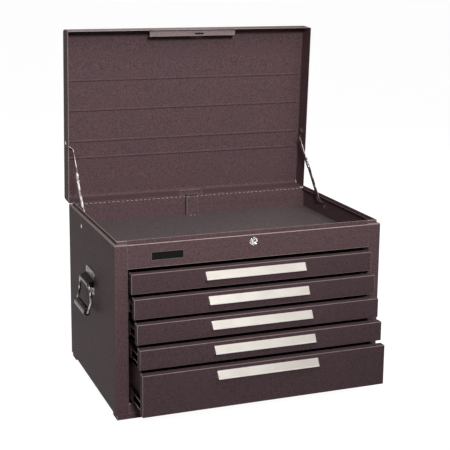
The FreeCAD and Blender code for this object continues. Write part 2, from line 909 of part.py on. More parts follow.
def stay_upper():
    """The link on the lid, with the other half of the elbow rivet."""
    body = link(stay_upper_x, stay_upper_width, stay_upper_length, 0.0)
    head = dome(V(stay_upper_x + stay_thickness, stay_upper_length, 0), X_AXIS, elbow_rivet_radius,
                elbow_rivet_head)
    return placed_link(fused([body, head]), stay_head, stay_angle + 180)


def wall_bore(point):
    """A rivet hole through the left wall of the case or the lid."""
    return rod(V(-side - overrun, point.y, point.z), V(-side_in + overrun, point.y, point.z), stay_rivet_radius)


def stay_case_bore():
    """The hole for the stay's rivet in the case."""
    return wall_bore(stay_foot)


def stay_lid_bore():
    """The hole for the stay's rivet in the closed lid."""
    return wall_bore(stay_head_shut)


def stay_rivet(point):
    """The rivet that holds the foot of a link to the left wall."""
    start = V(-side, point.y, point.z)
    end = V(stay_outer_x + stay_thickness + gap, point.y, point.z)
    return headed_rivet(start, end, stay_rivet_radius, stay_rivet_head_radius, stay_rivet_head,
                        stay_rivet_head_radius, stay_rivet_head)


# Side handles, made for the left side


plate_high = rim_height - handle_plate_top
plate_low = plate_high - handle_plate_height
pivot_x = -side - handle_standoff
pivot_z = plate_low + pivot_lift
grip_x = pivot_x - bail_reach
grip_z = pivot_z - bail_drop


def handle_rivet_places():
    """Where the rivets of the handle's plate sit, two in each row."""
    foot_z = plate_low + handle_rivet_foot_inset
    top_z = plate_high - handle_rivet_top_inset
    rows = ((foot_z, handle_rivet_foot_half), (top_z, handle_rivet_top_half))
    return [V(-side, middle + sign * half, z) for z, half in rows for sign in (-1, 1)]


def handle_rivet_bores():
    """The rivet holes through the wall."""
    return [rod(V(-side - handle_plate_sheet - overrun, place.y, place.z), V(-side_in + overrun, place.y, place.z),
                handle_rivet_radius) for place in handle_rivet_places()]


def strap(root, touch, inside):
    """A flat strip of the plate's sheet along the roll, with its thickness towards a point."""
    along = touch.sub(root)
    across = along.cross(Y_AXIS).normalize()
    if across.dot(inside.sub(root)) < 0:
        across = across.negative()
    step = across.multiply(roll_sheet)
    return polygon_face([root, touch, touch.add(step), root.add(step)])


def touch_point(centre, root, turn_sign):
    """Where a line from the plate touches the roll round the bail's pins."""
    apart = root.sub(centre)
    turn = math.degrees(math.acos(roll_radius / apart.Length))
    spoke = FreeCAD.Rotation(Y_AXIS, turn_sign * turn).multVec(apart).normalize()
    return centre.add(spoke.multiply(roll_radius))


def handle_plate():
    """The handle's plate, with the roll that holds the bail."""
    half = handle_plate_width / 2
    face = -side - handle_plate_sheet
    plate = block((face, -side), (middle - half, middle + half), (plate_low, plate_high))
    level = (plate_low + plate_high) / 2
    plate = rounded(plate, handle_plate_top_corner,
                    lambda edge: runs_along(edge, X_AXIS) and edge.CenterOfMass.z > level)
    plate = rounded(plate, handle_plate_foot_corner,
                    lambda edge: runs_along(edge, X_AXIS) and edge.CenterOfMass.z < plate_low + gap)
    roll_half = bail_top_half_width - bail_corner - gap
    start = middle - roll_half
    centre = V(pivot_x, start, pivot_z)
    high_root = V(face, start, pivot_z + roll_root_rise)
    low_root = V(face, start, pivot_z - roll_root_drop)
    length = V(0, 2 * roll_half, 0)
    high_strap = strap(high_root, touch_point(centre, high_root, -1), low_root).extrude(length)
    low_strap = strap(low_root, touch_point(centre, low_root, 1), high_root).extrude(length)
    body = fused([plate, high_strap, low_strap, rod(centre, centre.add(length), roll_radius)])
    bore = rod(V(pivot_x, middle - half - overrun, pivot_z), V(pivot_x, middle + half + overrun, pivot_z),
               bail_radius + pin_gap)
    return body.cut(group([bore] + handle_rivet_bores()))


def handle_rivet(place):
    """A rivet through the handle's plate and the wall."""
    start = V(-side - handle_plate_sheet, place.y, place.z)
    end = V(-side_in, place.y, place.z)
    return headed_rivet(start, end, handle_rivet_radius, handle_rivet_head_radius, handle_rivet_head,
                        handle_rivet_head_radius, handle_rivet_head)


def rounded_path(points, radius):
    """Straight runs between points, with an arc at each corner."""
    edges = []
    last = points[0]
    for before, corner, after in zip(points, points[1:], points[2:]):
        into = corner.sub(before).normalize()
        out = after.sub(corner).normalize()
        turn = into.getAngle(out)
        setback = radius * math.tan(turn / 2)
        start = corner.sub(V(into).multiply(setback))
        end = corner.add(V(out).multiply(setback))
        chord_middle = start.add(end).multiply(0.5)
        inward = chord_middle.sub(corner).normalize()
        depth = radius / math.cos(turn / 2) - radius
        crest = corner.add(V(inward).multiply(depth))
        edges.append(Part.LineSegment(last, start).toShape())
        edges.append(Part.Arc(start, crest, end).toShape())
        last = end
    edges.append(Part.LineSegment(last, points[-1]).toShape())
    return Part.Wire(edges)


def bail():
    """The handle's round steel loop, its ends turned in to sit in the lugs."""
    pin_end = bail_top_half_width - bail_pin_length
    knee_z = pivot_z - bail_knee_drop
    half_outline = [
        (pivot_x, pin_end, pivot_z), (pivot_x, bail_top_half_width, pivot_z),
        (pivot_x, bail_knee_half_width, knee_z), (grip_x, bail_bottom_half_width, grip_z),
    ]
    outline = [(x, -y, z) for x, y, z in half_outline] + half_outline[::-1]
    path = rounded_path([V(x, middle + y, z) for x, y, z in outline], bail_corner)
    ring = Part.Wire(Part.makeCircle(bail_radius, V(pivot_x, middle - pin_end, pivot_z), Y_AXIS))
    return path.makePipeShell([ring], True, True)


def grip():
    """The rolled sheet on the bail's crossbar, open along the side that faces the wall."""
    half = grip_length / 2
    start = V(grip_x, middle - half, grip_z)
    end = V(grip_x, middle + half, grip_z)
    tube = rod(start, end, grip_radius).cut(rod(start, end, grip_radius - grip_wall))
    mouth_half = grip_radius * grip_mouth_share
    mouth = block((grip_x, grip_x + grip_radius + overrun), (middle - half - overrun, middle + half + overrun),
                  (grip_z - mouth_half, grip_z + mouth_half))
    webs = []
    for y in (start.y, end.y - grip_wall):
        web = rod(V(grip_x, y, grip_z), V(grip_x, y + grip_wall, grip_z), grip_radius)
        webs.append(web.cut(rod(V(grip_x, y, grip_z), V(grip_x, y + grip_wall, grip_z), bail_radius)))
    return fused([tube] + webs).cut(mouth)


def make_nodes():
    """Every piece of the chest, by name."""
    nodes = {
        "case_shell": case_shell(),
        "top_rail": top_rail(),
        "bottom_rail": bottom_rail(),
        "bottom_pan": bottom_pan(),
        "skids": skids(),
        "till_floor": till_floor(),
        "till_mat": till_mat(),
        "slide_posts": slide_posts(),
        "slide_case_rails": slide_case_rails(),
        "hinge_case_leaf": hinge_leaf(False),
        "hinge_pin": hinge_pin(),
        "nameplate": nameplate(),
        "lock_housing": lock_housing(),
        "lock_plug": lock_plug(),
        "lock_cam": lock_cam(),
        "lock_bar": lock_bar(),
        "lock_bar_guides": lock_bar_guides(),
        "lock_bar_spring": lock_bar_spring(),
        "lid_shell": opened(lid_shell()),
        "hinge_lid_leaf": opened(hinge_leaf(True)),
        "lid_strike": opened(lid_strike()),
        "lock_bar_striker": opened(lock_bar_striker()),
        "stay_case_rivets": group(both_sides(stay_rivet(stay_foot))),
        "stay_lid_rivets": group([opened(shape) for shape in both_sides(stay_rivet(stay_head_shut))]),
        "stay_lower_left": stay_lower(),
        "stay_lower_right": mirrored(stay_lower()),
        "stay_upper_left": stay_upper(),
        "stay_upper_right": mirrored(stay_upper()),
        "handle_plates": group(both_sides(handle_plate())),
        "handle_bail_left": bail(),
        "handle_bail_right": mirrored(bail()),
        "handle_grip_left": grip(),
        "handle_grip_right": mirrored(grip()),
    }
    rivets = []
    for place in handle_rivet_places():
        rivets += both_sides(handle_rivet(place))
    nodes["handle_rivets"] = group(rivets)
    for number, out in enumerate(pulled_out):
        name = str(number + 1)
        nodes["drawer_front_" + name] = moved(drawer_front(number), y=-out)
        nodes["drawer_box_" + name] = moved(drawer_box(number), y=-out)
        nodes["drawer_pull_" + name] = moved(drawer_pull(number), y=-out)
        nodes["drawer_rails_" + name] = moved(group(both_sides(drawer_rail(number))), y=-out)
        middle_rails = []
        for solid in middle_rail(number):
            middle_rails += both_sides(solid)
        nodes["middle_rails_" + name] = moved(group(middle_rails), y=-out / 2)
    return nodes


def report_motion():
    """Print where the moving pieces turn and how far they go."""
    elbow = shut_elbow()
    lower_turn = (swing_of(stay_foot, elbow) - stay_angle) % 360
    upper_shut = swing_of(stay_head_shut, elbow)
    upper_turn = (upper_shut - (stay_angle + 180) + 180) % 360 - 180 - lid_open_angle
    print("hinge", round(hinge_y, 3), round(hinge_z, 3))
    print("stay foot", round(stay_foot.y, 3), round(stay_foot.z, 3))
    print("stay head", round(stay_head.y, 3), round(stay_head.z, 3))
    print("stay lower link turns", round(lower_turn, 4), "upper link turns", round(upper_turn, 4))
    print("stay elbow shut", round(elbow.y, 2), round(elbow.z, 2), "upper link", round(stay_upper_length, 3))
    print("bail pivot", round(pivot_x, 3), round(pivot_z, 3))
    print("lock", round(lock_z, 3), "bar travel", bar_travel)
    print("drawers out", [round(out, 3) for out in pulled_out], "travel", drawer_travel)


os.makedirs("parts", exist_ok=True)
for node_name, node_shape in make_nodes().items():
    if not node_shape.isValid():
        raise ValueError(node_name + " is not a valid shape")
    node_shape.exportStep("parts/" + node_name + ".step")
    print(node_name, len(node_shape.Solids), "solids", round(node_shape.Volume), "mm3")
report_motion()
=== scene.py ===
# %% [markdown]
# # A machinist tool chest in brown wrinkle enamel
# The chest is folded from thin sheet steel, painted in a wrinkle enamel and fitted with bright
# hardware: bare metal pulls, plated handles, a chromed lock and two folding stays for the lid.
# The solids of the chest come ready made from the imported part, with every piece in its place. This
# script gives each of them its finish, and puts finer pieces over those that need them.

# %% Load the chest
import bmesh
import bpy
import json
import math
from mathutils import Matrix, Vector

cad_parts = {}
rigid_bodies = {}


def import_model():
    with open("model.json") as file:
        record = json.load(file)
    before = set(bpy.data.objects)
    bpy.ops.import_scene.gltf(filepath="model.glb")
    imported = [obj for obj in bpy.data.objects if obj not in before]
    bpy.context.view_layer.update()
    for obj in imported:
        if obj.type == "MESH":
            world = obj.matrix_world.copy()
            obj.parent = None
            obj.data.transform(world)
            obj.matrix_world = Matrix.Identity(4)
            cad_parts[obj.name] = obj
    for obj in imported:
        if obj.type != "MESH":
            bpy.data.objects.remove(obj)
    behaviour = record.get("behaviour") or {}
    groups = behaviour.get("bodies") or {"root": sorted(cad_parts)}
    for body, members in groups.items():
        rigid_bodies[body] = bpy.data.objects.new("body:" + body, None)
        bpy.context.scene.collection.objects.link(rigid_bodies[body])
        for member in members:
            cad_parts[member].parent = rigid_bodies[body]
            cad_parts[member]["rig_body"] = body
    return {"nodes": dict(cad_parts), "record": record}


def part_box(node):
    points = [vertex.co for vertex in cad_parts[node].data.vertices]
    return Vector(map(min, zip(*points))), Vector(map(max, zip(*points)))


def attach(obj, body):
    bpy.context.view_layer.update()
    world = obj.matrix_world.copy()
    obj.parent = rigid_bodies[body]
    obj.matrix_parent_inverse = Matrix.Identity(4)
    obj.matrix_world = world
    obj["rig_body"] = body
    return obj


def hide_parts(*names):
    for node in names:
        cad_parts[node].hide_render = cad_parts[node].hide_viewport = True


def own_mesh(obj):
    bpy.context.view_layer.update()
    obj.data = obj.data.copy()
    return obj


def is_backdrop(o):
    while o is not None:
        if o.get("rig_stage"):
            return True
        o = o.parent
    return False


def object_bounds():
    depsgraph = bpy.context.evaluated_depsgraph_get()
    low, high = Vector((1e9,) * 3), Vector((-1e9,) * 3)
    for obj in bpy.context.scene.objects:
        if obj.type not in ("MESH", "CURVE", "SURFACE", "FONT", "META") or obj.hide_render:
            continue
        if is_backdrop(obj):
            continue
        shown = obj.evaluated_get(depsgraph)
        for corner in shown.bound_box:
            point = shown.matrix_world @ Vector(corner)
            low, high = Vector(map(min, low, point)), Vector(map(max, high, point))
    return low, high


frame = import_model()
cad_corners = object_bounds()
MM = 0.001
SLOTS = {part["node"]: part["material_slot"] for part in frame["record"]["subparts"]}
JOINTS = {joint["name"]: joint for joint in frame["record"]["behaviour"]["joints"]}
DRAWERS = range(1, 6)
SIDES = ("left", "right")

# %% [markdown]
# ## Writing a finish as sums
# A procedural finish is a net of small nodes. Wiring them by hand takes many lines, so one class
# wraps an output socket and lets Python's own signs add the Math nodes. Colours don't go through
# Math nodes, because those turn them grey: they have a Mix node of their own.


# %% Sockets that can be added and multiplied
class Wire:
    """One number or colour that flows through a finish."""

    def __init__(self, finish, socket):
        self.finish = finish
        self.socket = socket

    def math(self, operation, first, second):
        return self.finish.add("ShaderNodeMath", {"operation": operation}, {0: first, 1: second})

    def __add__(self, other):
        return self.math("ADD", self, other)

    def __sub__(self, other):
        return self.math("SUBTRACT", self, other)

    def __rsub__(self, other):
        return self.math("SUBTRACT", other, self)

    def __mul__(self, other):
        return self.math("MULTIPLY", self, other)

    __radd__ = __add__
    __rmul__ = __mul__

    def above(self, level, width):
        """A soft step: 0 well under the level and 1 well over it."""
        sockets = {"Value": self, "From Min": level - width, "From Max": level + width}
        return self.finish.add("ShaderNodeMapRange", {"clamp": True}, sockets)


# %% A material that nodes are added to
class Finish:
    """A material and a short way to add nodes to it."""

    def __init__(self, name):
        self.material = bpy.data.materials.new(name)
        self.material.use_nodes = True
        self.tree = self.material.node_tree
        self.shader = self.tree.nodes["Principled BSDF"]

    def add(self, kind, settings=None, sockets=None, output=0):
        node = self.tree.nodes.new(kind)
        for name, value in (settings or {}).items():
            setattr(node, name, value)
        for name, value in (sockets or {}).items():
            self.plug(value, node.inputs[name])
        return Wire(self, node.outputs[output])

    def plug(self, value, socket):
        if isinstance(value, Wire):
            self.tree.links.new(value.socket, socket)
        else:
            socket.default_value = value

    def surface(self, **sockets):
        for name, value in sockets.items():
            self.plug(value, self.shader.inputs[name.replace("_", " ")])

    def place(self, stretch=(1, 1, 1)):
        """Where a point lies on the chest, in metres, with each axis stretched."""
        point = self.add("ShaderNodeTexCoord", output="Object")
        return self.add("ShaderNodeMapping", {}, {"Vector": point, "Scale": stretch})

    def noise(self, size, detail=2.0, stretch=(1, 1, 1)):
        """Cloudy values about 0.5 whose blotches are of a size in metres."""
        sockets = {"Vector": self.place(stretch), "Scale": 1 / size, "Detail": detail}
        return self.add("ShaderNodeTexNoise", {}, sockets, "Fac")

    def blend(self, share, first, second):
        """A colour between two colours."""
        settings = {"data_type": "RGBA", "blend_type": "MIX"}
        return self.add("ShaderNodeMix", settings, {0: share, 6: first, 7: second}, 2)

    def bumps(self, height, depth, strength=1.0):
        """A normal that follows a height, where 1 stands for a depth in metres."""
        sockets = {"Height": height, "Distance": depth, "Strength": strength}
        return self.add("ShaderNodeBump", {}, sockets)

    def edge_wear_and_highlight(self):
        """1 on the rounded edges of a piece, and 0 on its faces."""
        return self.add("ShaderNodeAttribute", {"attribute_name": "edge"}, output="Fac")


def tone(red, green, blue):
    """A colour read as a screen value from 0 to 255, as the linear value a shader wants."""
    linear = [((part / 255 + 0.055) / 1.055) ** 2.4 for part in (red, green, blue)]
    return (*linear, 1.0)


print("a mid grey of 128 is", round(tone(128, 128, 128)[0], 3), "as a shader reads it")

# %% [markdown]
# ## The wrinkle enamel
# Wrinkle enamel dries with a fine skin of folds, about a millimetre apart, so it never shines like
# smooth paint. The folds are a bump. The colour drifts a little, from a violet brown to a redder
# one. Small patches are painted darker, as painted shade in the hollows of the wrinkle, and lighter,
# as painted light on its crests. The folded edges are painted paler: the paint is thinner there,
# where hands and drawers rub it, and the paleness is a painted highlight as well. On the case two
# rims get a band of painted highlight too: the upper edge of its lip, and the shoulder that the lid
# comes down to, which is level with the hinge.
# A single colour with a low gloss would look like plastic.

# %% Enamel
WRINKLE = 1.1 * MM
WRINKLE_DEPTH = 0.22 * MM
HOLLOW = 3.6 * MM
CREST = 3.1 * MM
COLOUR_DRIFT = 110 * MM
RUBBED_AND_LIT_PATCH = 12 * MM
RIM_BAND = 1.8 * MM
RIM_BLUR = 0.2 * RIM_BAND
PAINT_SPECULAR = 0.12


def times(colour, share):
    """A colour made darker or lighter."""
    return tuple(part * share for part in colour[:3]) + (1.0,)


def wrinkle_enamel(name, body, warm, edge, rough=0.54, rims=()):
    """Painted steel: a main colour, a redder one, and a pale edge tone of wear and painted highlight."""
    paint = Finish(name)
    drift = paint.noise(COLOUR_DRIFT, 3.0).above(0.55, 0.2)
    folds = paint.noise(WRINKLE, 3.0)
    hollow_shade = paint.noise(HOLLOW, 1.0).above(0.53, 0.08)
    crest_light = paint.noise(CREST, 1.0).above(0.55, 0.08)
    colour = paint.blend(drift * 0.5, body, warm)
    # Painted shade in the hollows of the wrinkle, and painted light on its crests.
    colour = paint.blend(hollow_shade * 0.7, colour, times(body, 0.6))
    colour = paint.blend(crest_light * 0.6, colour, times(warm, 1.5))
    # Painted highlight and wear: the marked edge faces blend to the pale edge tone.
    rubbed_and_lit = paint.edge_wear_and_highlight() * (0.6 + paint.noise(RUBBED_AND_LIT_PATCH, 2.0) * 0.5)
    # Painted highlight: a band at the height of each rim of the case.
    for rim in rims:
        height = paint.add("ShaderNodeSeparateXYZ", {}, {"Vector": paint.place()}, "Z")
        near = height.above(rim - RIM_BAND, RIM_BLUR) - height.above(rim + 2 * RIM_BLUR, RIM_BLUR)
        rubbed_and_lit = rubbed_and_lit + near * 0.5
    colour = paint.blend(rubbed_and_lit, colour, edge)
    paint.surface(Base_Color=colour, Roughness=rough + folds * 0.16 - rubbed_and_lit * 0.14)
    paint.surface(Normal=paint.bumps(folds, WRINKLE_DEPTH, 0.55), Specular_IOR_Level=PAINT_SPECULAR)
    return paint.material


# The heights of the case's two rims, which get a band of painted highlight.
CASE_RIMS = (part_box("case_shell")[1].z, JOINTS["lid_hinge"]["pos_m"][2])
VIOLET_BROWN = tone(97, 79, 84)
RED_BROWN = tone(104, 77, 78)
RUBBED_AND_LIT = tone(204, 186, 180)
enamel = wrinkle_enamel("wrinkle enamel", VIOLET_BROWN, RED_BROWN, RUBBED_AND_LIT)
worn_enamel = wrinkle_enamel(
    "worn enamel", tone(158, 140, 140), tone(150, 128, 128), tone(200, 186, 182), rough=0.42)
case_enamel = wrinkle_enamel("case enamel", VIOLET_BROWN, RED_BROWN, RUBBED_AND_LIT, rims=CASE_RIMS)
# Painted shade: the drawers get a darker copy of the enamel, as the light falls off lower down.
shaded_drawer_enamel = wrinkle_enamel(
    "drawer enamel", tone(82, 67, 72), tone(88, 65, 67), tone(158, 140, 136))
mat_finish = wrinkle_enamel(
    "till mat", tone(106, 95, 97), tone(102, 90, 91), tone(110, 98, 98), rough=0.62)
print("enamel's main colour:", [round(part, 3) for part in VIOLET_BROWN[:3]])
print("rims at", [round(rim / MM, 1) for rim in CASE_RIMS], "mm")

# %% [markdown]
# ## Bare and plated metal
# The pulls are pressed from bright sheet and brushed along their length, which spreads a highlight
# across them. The handles, stays and lock are plated. Plating is never an even mirror: patches of a
# light and a dull tone are painted reflection, and it has fine scratches. Its edges are painted
# bright, for wear and painted highlight. All of them are one recipe with other numbers, so that
# they look like one shop's work.

# %% Metals
SCRATCH = 1.2 * MM
SCRATCH_DEPTH = 0.04 * MM
ALONG_X = (0.03, 1, 1)
ALONG_Y = (1, 0.1, 1)
BRIGHT_EDGE = tone(236, 230, 226)


def worn_metal_with_painted_sheen(name, light, dull, rough, streak=(1, 1, 1), cloud=20 * MM, width=0.2):
    """Painted reflection in patches, scratches along an axis, and edges of wear and painted highlight."""
    metal = Finish(name)
    lines = metal.noise(SCRATCH, 3.0, streak)
    tone_and_reflection_patches = metal.noise(cloud, 2.0)
    # Painted reflection: noise patches switch between the light and the dull tone.
    colour = metal.blend(tone_and_reflection_patches.above(0.5, width), light, dull)
    # Painted highlight and wear: the marked edge faces turn bright.
    colour = metal.blend(metal.edge_wear_and_highlight() * 0.9, colour, BRIGHT_EDGE)
    metal.surface(Base_Color=colour, Metallic=1.0)
    metal.surface(Roughness=rough + lines * 0.14 + tone_and_reflection_patches * 0.08 - 0.1)
    metal.surface(Normal=metal.bumps(lines, SCRATCH_DEPTH, 0.35))
    return metal.material


brushed_pull = worn_metal_with_painted_sheen(
    "brushed pull", tone(222, 217, 210), tone(212, 205, 197), 0.46, ALONG_X, cloud=60 * MM)
plated = worn_metal_with_painted_sheen(
    "nickel plate", tone(176, 164, 160), tone(66, 56, 56), 0.16, cloud=12 * MM, width=0.06)
stay_steel = worn_metal_with_painted_sheen(
    "plated stay", tone(236, 230, 228), tone(120, 106, 106), 0.24, cloud=24 * MM, width=0.08)
chromed = worn_metal_with_painted_sheen(
    "chrome", tone(226, 224, 226), tone(84, 78, 82), 0.12, cloud=5 * MM, width=0.05)
# A dark tone for the plates and grips of the handles.
dark_plate = worn_metal_with_painted_sheen(
    "worn plate", tone(84, 72, 70), tone(40, 33, 33), 0.26, cloud=10 * MM, width=0.06)
zinc = worn_metal_with_painted_sheen("bright zinc", tone(205, 204, 200), tone(168, 166, 160), 0.3, ALONG_Y)
# A dark tone for the slides.
slide_steel = worn_metal_with_painted_sheen("oiled slide", tone(96, 86, 86), tone(58, 50, 50), 0.34, ALONG_Y)
spring_wire = worn_metal_with_painted_sheen("oiled spring wire", tone(120, 120, 122), tone(84, 84, 86), 0.34)
METALS = (brushed_pull, plated, stay_steel, chromed, dark_plate, zinc, slide_steel, spring_wire)
print("metals:", ", ".join(metal.name for metal in METALS))

# %% [markdown]
# ## Which piece has which finish
# The imported part names a slot for every node, and each slot has one finish here. Some nodes of a
# slot have a finish of their own: the drawers have a darker copy of the enamel, which is painted
# shade, and the plates and grips of the handles a dark plate. The nameplate's black lacquer is the
# one finish without a bump.


# %% Give each node its finish
def gloss_black():
    """The plate's black lacquer, smoother than the enamel round it."""
    lacquer = Finish("black lacquer")
    colour = lacquer.blend(lacquer.edge_wear_and_highlight() * 0.7, tone(15, 13, 14), tone(176, 168, 162))
    rough = 0.34 + lacquer.noise(4 * MM) * 0.12
    lacquer.surface(Base_Color=colour, Roughness=rough, Specular_IOR_Level=PAINT_SPECULAR)
    return lacquer.material


FINISHES = {
    "enamel": enamel,
    "mat": mat_finish,
    "satin_nickel": brushed_pull,
    "nickel_plate": plated,
    "chrome": chromed,
    "zinc_plate": zinc,
    "spring_steel": spring_wire,
    "black_plate": gloss_black(),
}
OWN_FINISH = {
    "case_shell": case_enamel,
    "lid_strike": worn_enamel,
    "lock_bar": enamel,
    "slide_case_rails": slide_steel,
    "handle_plates": dark_plate,
}
for number in DRAWERS:
    OWN_FINISH["drawer_front_%d" % number] = shaded_drawer_enamel
    OWN_FINISH["drawer_rails_%d" % number] = slide_steel
    OWN_FINISH["middle_rails_%d" % number] = slide_steel
for side in SIDES:
    OWN_FINISH["stay_lower_" + side] = stay_steel
    OWN_FINISH["stay_upper_" + side] = stay_steel
    OWN_FINISH["handle_grip_" + side] = dark_plate


def finish_of(node):
    """A node's own finish, where it has one, or else the finish of its slot."""
    return OWN_FINISH.get(node, FINISHES[SLOTS[node]])


for node, solid in frame["nodes"].items():
    solid.data.materials.clear()
    solid.data.materials.append(finish_of(node))
print("finishes:", ", ".join(FINISHES))

# %% [markdown]
# ## From a mesh under work to a piece of the chest
# Each new piece is shaped in a bmesh, then becomes an object that rides the same body as the solid
# it stands for. Its faces are smooth, except across corners sharper than 50 degrees. On folded sheet
# and on the pulls a Weighted Normal modifier gives the larger faces more say in the direction of a
# shared corner, so that the narrow rounded edges turn the light.

# %% Make a piece
SHARP = math.radians(50)


def body_of(node):
    return frame["nodes"][node]["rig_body"]


def make_piece(name, shape, node):
    """The finished piece, in the place of a solid of the chest, with its finish and its body."""
    mesh = bpy.data.meshes.new(name)
    shape.to_mesh(mesh)
    shape.free()
    mesh.polygons.foreach_set("use_smooth", [True] * len(mesh.polygons))
    mesh.set_sharp_from_angle(angle=SHARP)
    made = bpy.data.objects.new(name, mesh)
    bpy.context.scene.collection.objects.link(made)
    mesh.materials.append(finish_of(node))
    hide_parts(node)
    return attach(made, body_of(node))


def flat_faced(piece):
    """Give large faces more say than small ones in how their corners are shaded."""
    level = piece.modifiers.new("flat faces", "WEIGHTED_NORMAL")
    level.keep_sharp = True
    level.weight = 100
    level.thresh = 0.0
    return piece


def new_shape():
    """An empty bmesh with a place to note which faces are rounded edges."""
    shape = bmesh.new()
    shape.faces.layers.float.new("edge")
    return shape


def mark_edges(shape, faces):
    """Note faces as rounded edges, for the finish to paint them paler, as wear and painted highlight."""
    layer = shape.faces.layers.float["edge"]
    for face in faces:
        face[layer] = 1.0


def round_edges(shape, edges, width, steps=2):
    """Round some edges of a shape and mark the new faces."""
    made = bmesh.ops.bevel(shape, geom=edges, offset=width, offset_type="OFFSET", segments=steps,
                           profile=0.5, affect="EDGES", material=-1, clamp_overlap=True)
    mark_edges(shape, made["faces"])


# %% [markdown]
# ## Folded sheet with round edges
# A press brake leaves no knife edges: every fold and cut edge of the sheet has a small radius, and
# it is that radius that catches the light as a fine pale line. The imported solids have sharp edges,
# so each sheet, and each fitting that shows, gets a copy that is merged, freed of the lines inside
# its flat faces, and then bevelled. Modelling them again by hand would only repeat the solids'
# sizes. A fold between two wide faces gets the wider bevel of a bent sheet, and a cut edge a narrow
# one. The faces of the bevels and the narrow face of a cut edge are marked, and the finish paints
# them paler, as wear and painted highlight; hollow corners are left as they are. The large flat
# faces aren't shaded smooth: a wall with rivet holes would show faint lines between them.

# %% Soften the sheet metal
CUT_EDGE_WIDTH = 1.4 * MM
FOLD_FACE_WIDTH = 2.6 * MM
FLAT_FACE_AREA = 1200 * MM * MM
FLAT_ANGLE = math.radians(0.5)
SAME_POINT = 0.01 * MM
BODY_ROUNDING = (1.3 * MM, 0.5 * MM)
FITTING_ROUNDING = (0.5 * MM, 0.35 * MM)


def width_of(face):
    """About how wide a long face is."""
    return 2 * face.calc_area() / face.calc_perimeter()


def is_cut_edge(face):
    """Whether a face is the narrow edge of a sheet, square to the faces beside it."""
    sides = [edge for edge in face.edges if edge.calc_length() > 2 * CUT_EDGE_WIDTH]
    return width_of(face) < CUT_EDGE_WIDTH and all(edge.calc_face_angle(0.0) > SHARP for edge in sides)


def narrower_side(edge):
    """The width of the narrower face beside an edge."""
    return min(width_of(face) for face in edge.link_faces)


def outer_edges(shape):
    """The edges that stick out and are sharp."""
    return [edge for edge in shape.edges if edge.is_manifold and edge.calc_face_angle_signed() > SHARP]


def softened(node, fold, cut):
    """A copy of a solid with its outer edges rounded, folds by one width and cut edges by another."""
    shape = new_shape()
    shape.from_mesh(frame["nodes"][node].data)
    bmesh.ops.remove_doubles(shape, verts=shape.verts, dist=SAME_POINT)
    bmesh.ops.dissolve_limit(shape, angle_limit=FLAT_ANGLE, verts=shape.verts, edges=shape.edges,
                             use_dissolve_boundaries=False)
    mark_edges(shape, [face for face in shape.faces if is_cut_edge(face)])
    folds = [edge for edge in outer_edges(shape) if narrower_side(edge) > FOLD_FACE_WIDTH]
    round_edges(shape, folds, fold)
    round_edges(shape, outer_edges(shape), cut)
    sheet = make_piece("soft_" + node, shape, node)
    for face in sheet.data.polygons:
        face.use_smooth = face.area < FLAT_FACE_AREA
    return flat_faced(sheet)


BODY_SHEETS = ["case_shell", "top_rail", "bottom_rail", "lid_shell", "skids", "lid_strike"]
FITTINGS = ["lock_bar_guides", "lock_bar_striker", "lock_bar", "slide_case_rails", "handle_plates"]
for side in SIDES:
    FITTINGS += ["handle_grip_" + side, "stay_lower_" + side, "stay_upper_" + side]
for number in DRAWERS:
    BODY_SHEETS.append("drawer_front_%d" % number)
    FITTINGS += ["drawer_box_%d" % number, "drawer_rails_%d" % number]
for nodes, rounding in ((BODY_SHEETS, BODY_ROUNDING), (FITTINGS, FITTING_ROUNDING)):
    for node in nodes:
        made = softened(node, *rounding)
        print(made.name, len(made.data.polygons), "faces")

# %% [markdown]
# ## The drawer pulls
# Each pull is a strip of bright sheet pressed over a form. Its face slopes out from the drawer to
# its foot, its ends stand nearly square, and it is open behind and below for the fingers, with its
# lower edge turned in so that it isn't sharp. It starts as a block. The front corners are drawn in,
# two faces are taken off, the edge that is left below is extruded inwards as the turned lip, and the
# folds are rounded. A Solidify modifier gives what is left the thickness of the sheet.

# %% Pulls
PULL_END_SLOPE = 1.0 * MM
PULL_FACE_SLOPE = 15.5 * MM
PULL_SHEET = 1.0 * MM
PULL_LIP = 2.2 * MM
PULL_CREASE = 1.0 * MM
PULL_CORNER = 1.2 * MM
PULL_FOLD = 0.6 * MM
CORNER_ANGLE = math.radians(60)
FACING = 0.9


def block_between(low, high):
    """A bmesh block between two corners."""
    shape = new_shape()
    bmesh.ops.create_cube(shape, size=1.0)
    bmesh.ops.scale(shape, vec=high - low, verts=shape.verts)
    bmesh.ops.translate(shape, vec=(low + high) / 2, verts=shape.verts)
    return shape


def joined_edges(shape):
    """The edges that lie between two faces."""
    return [edge for edge in shape.edges if len(edge.link_faces) == 2]


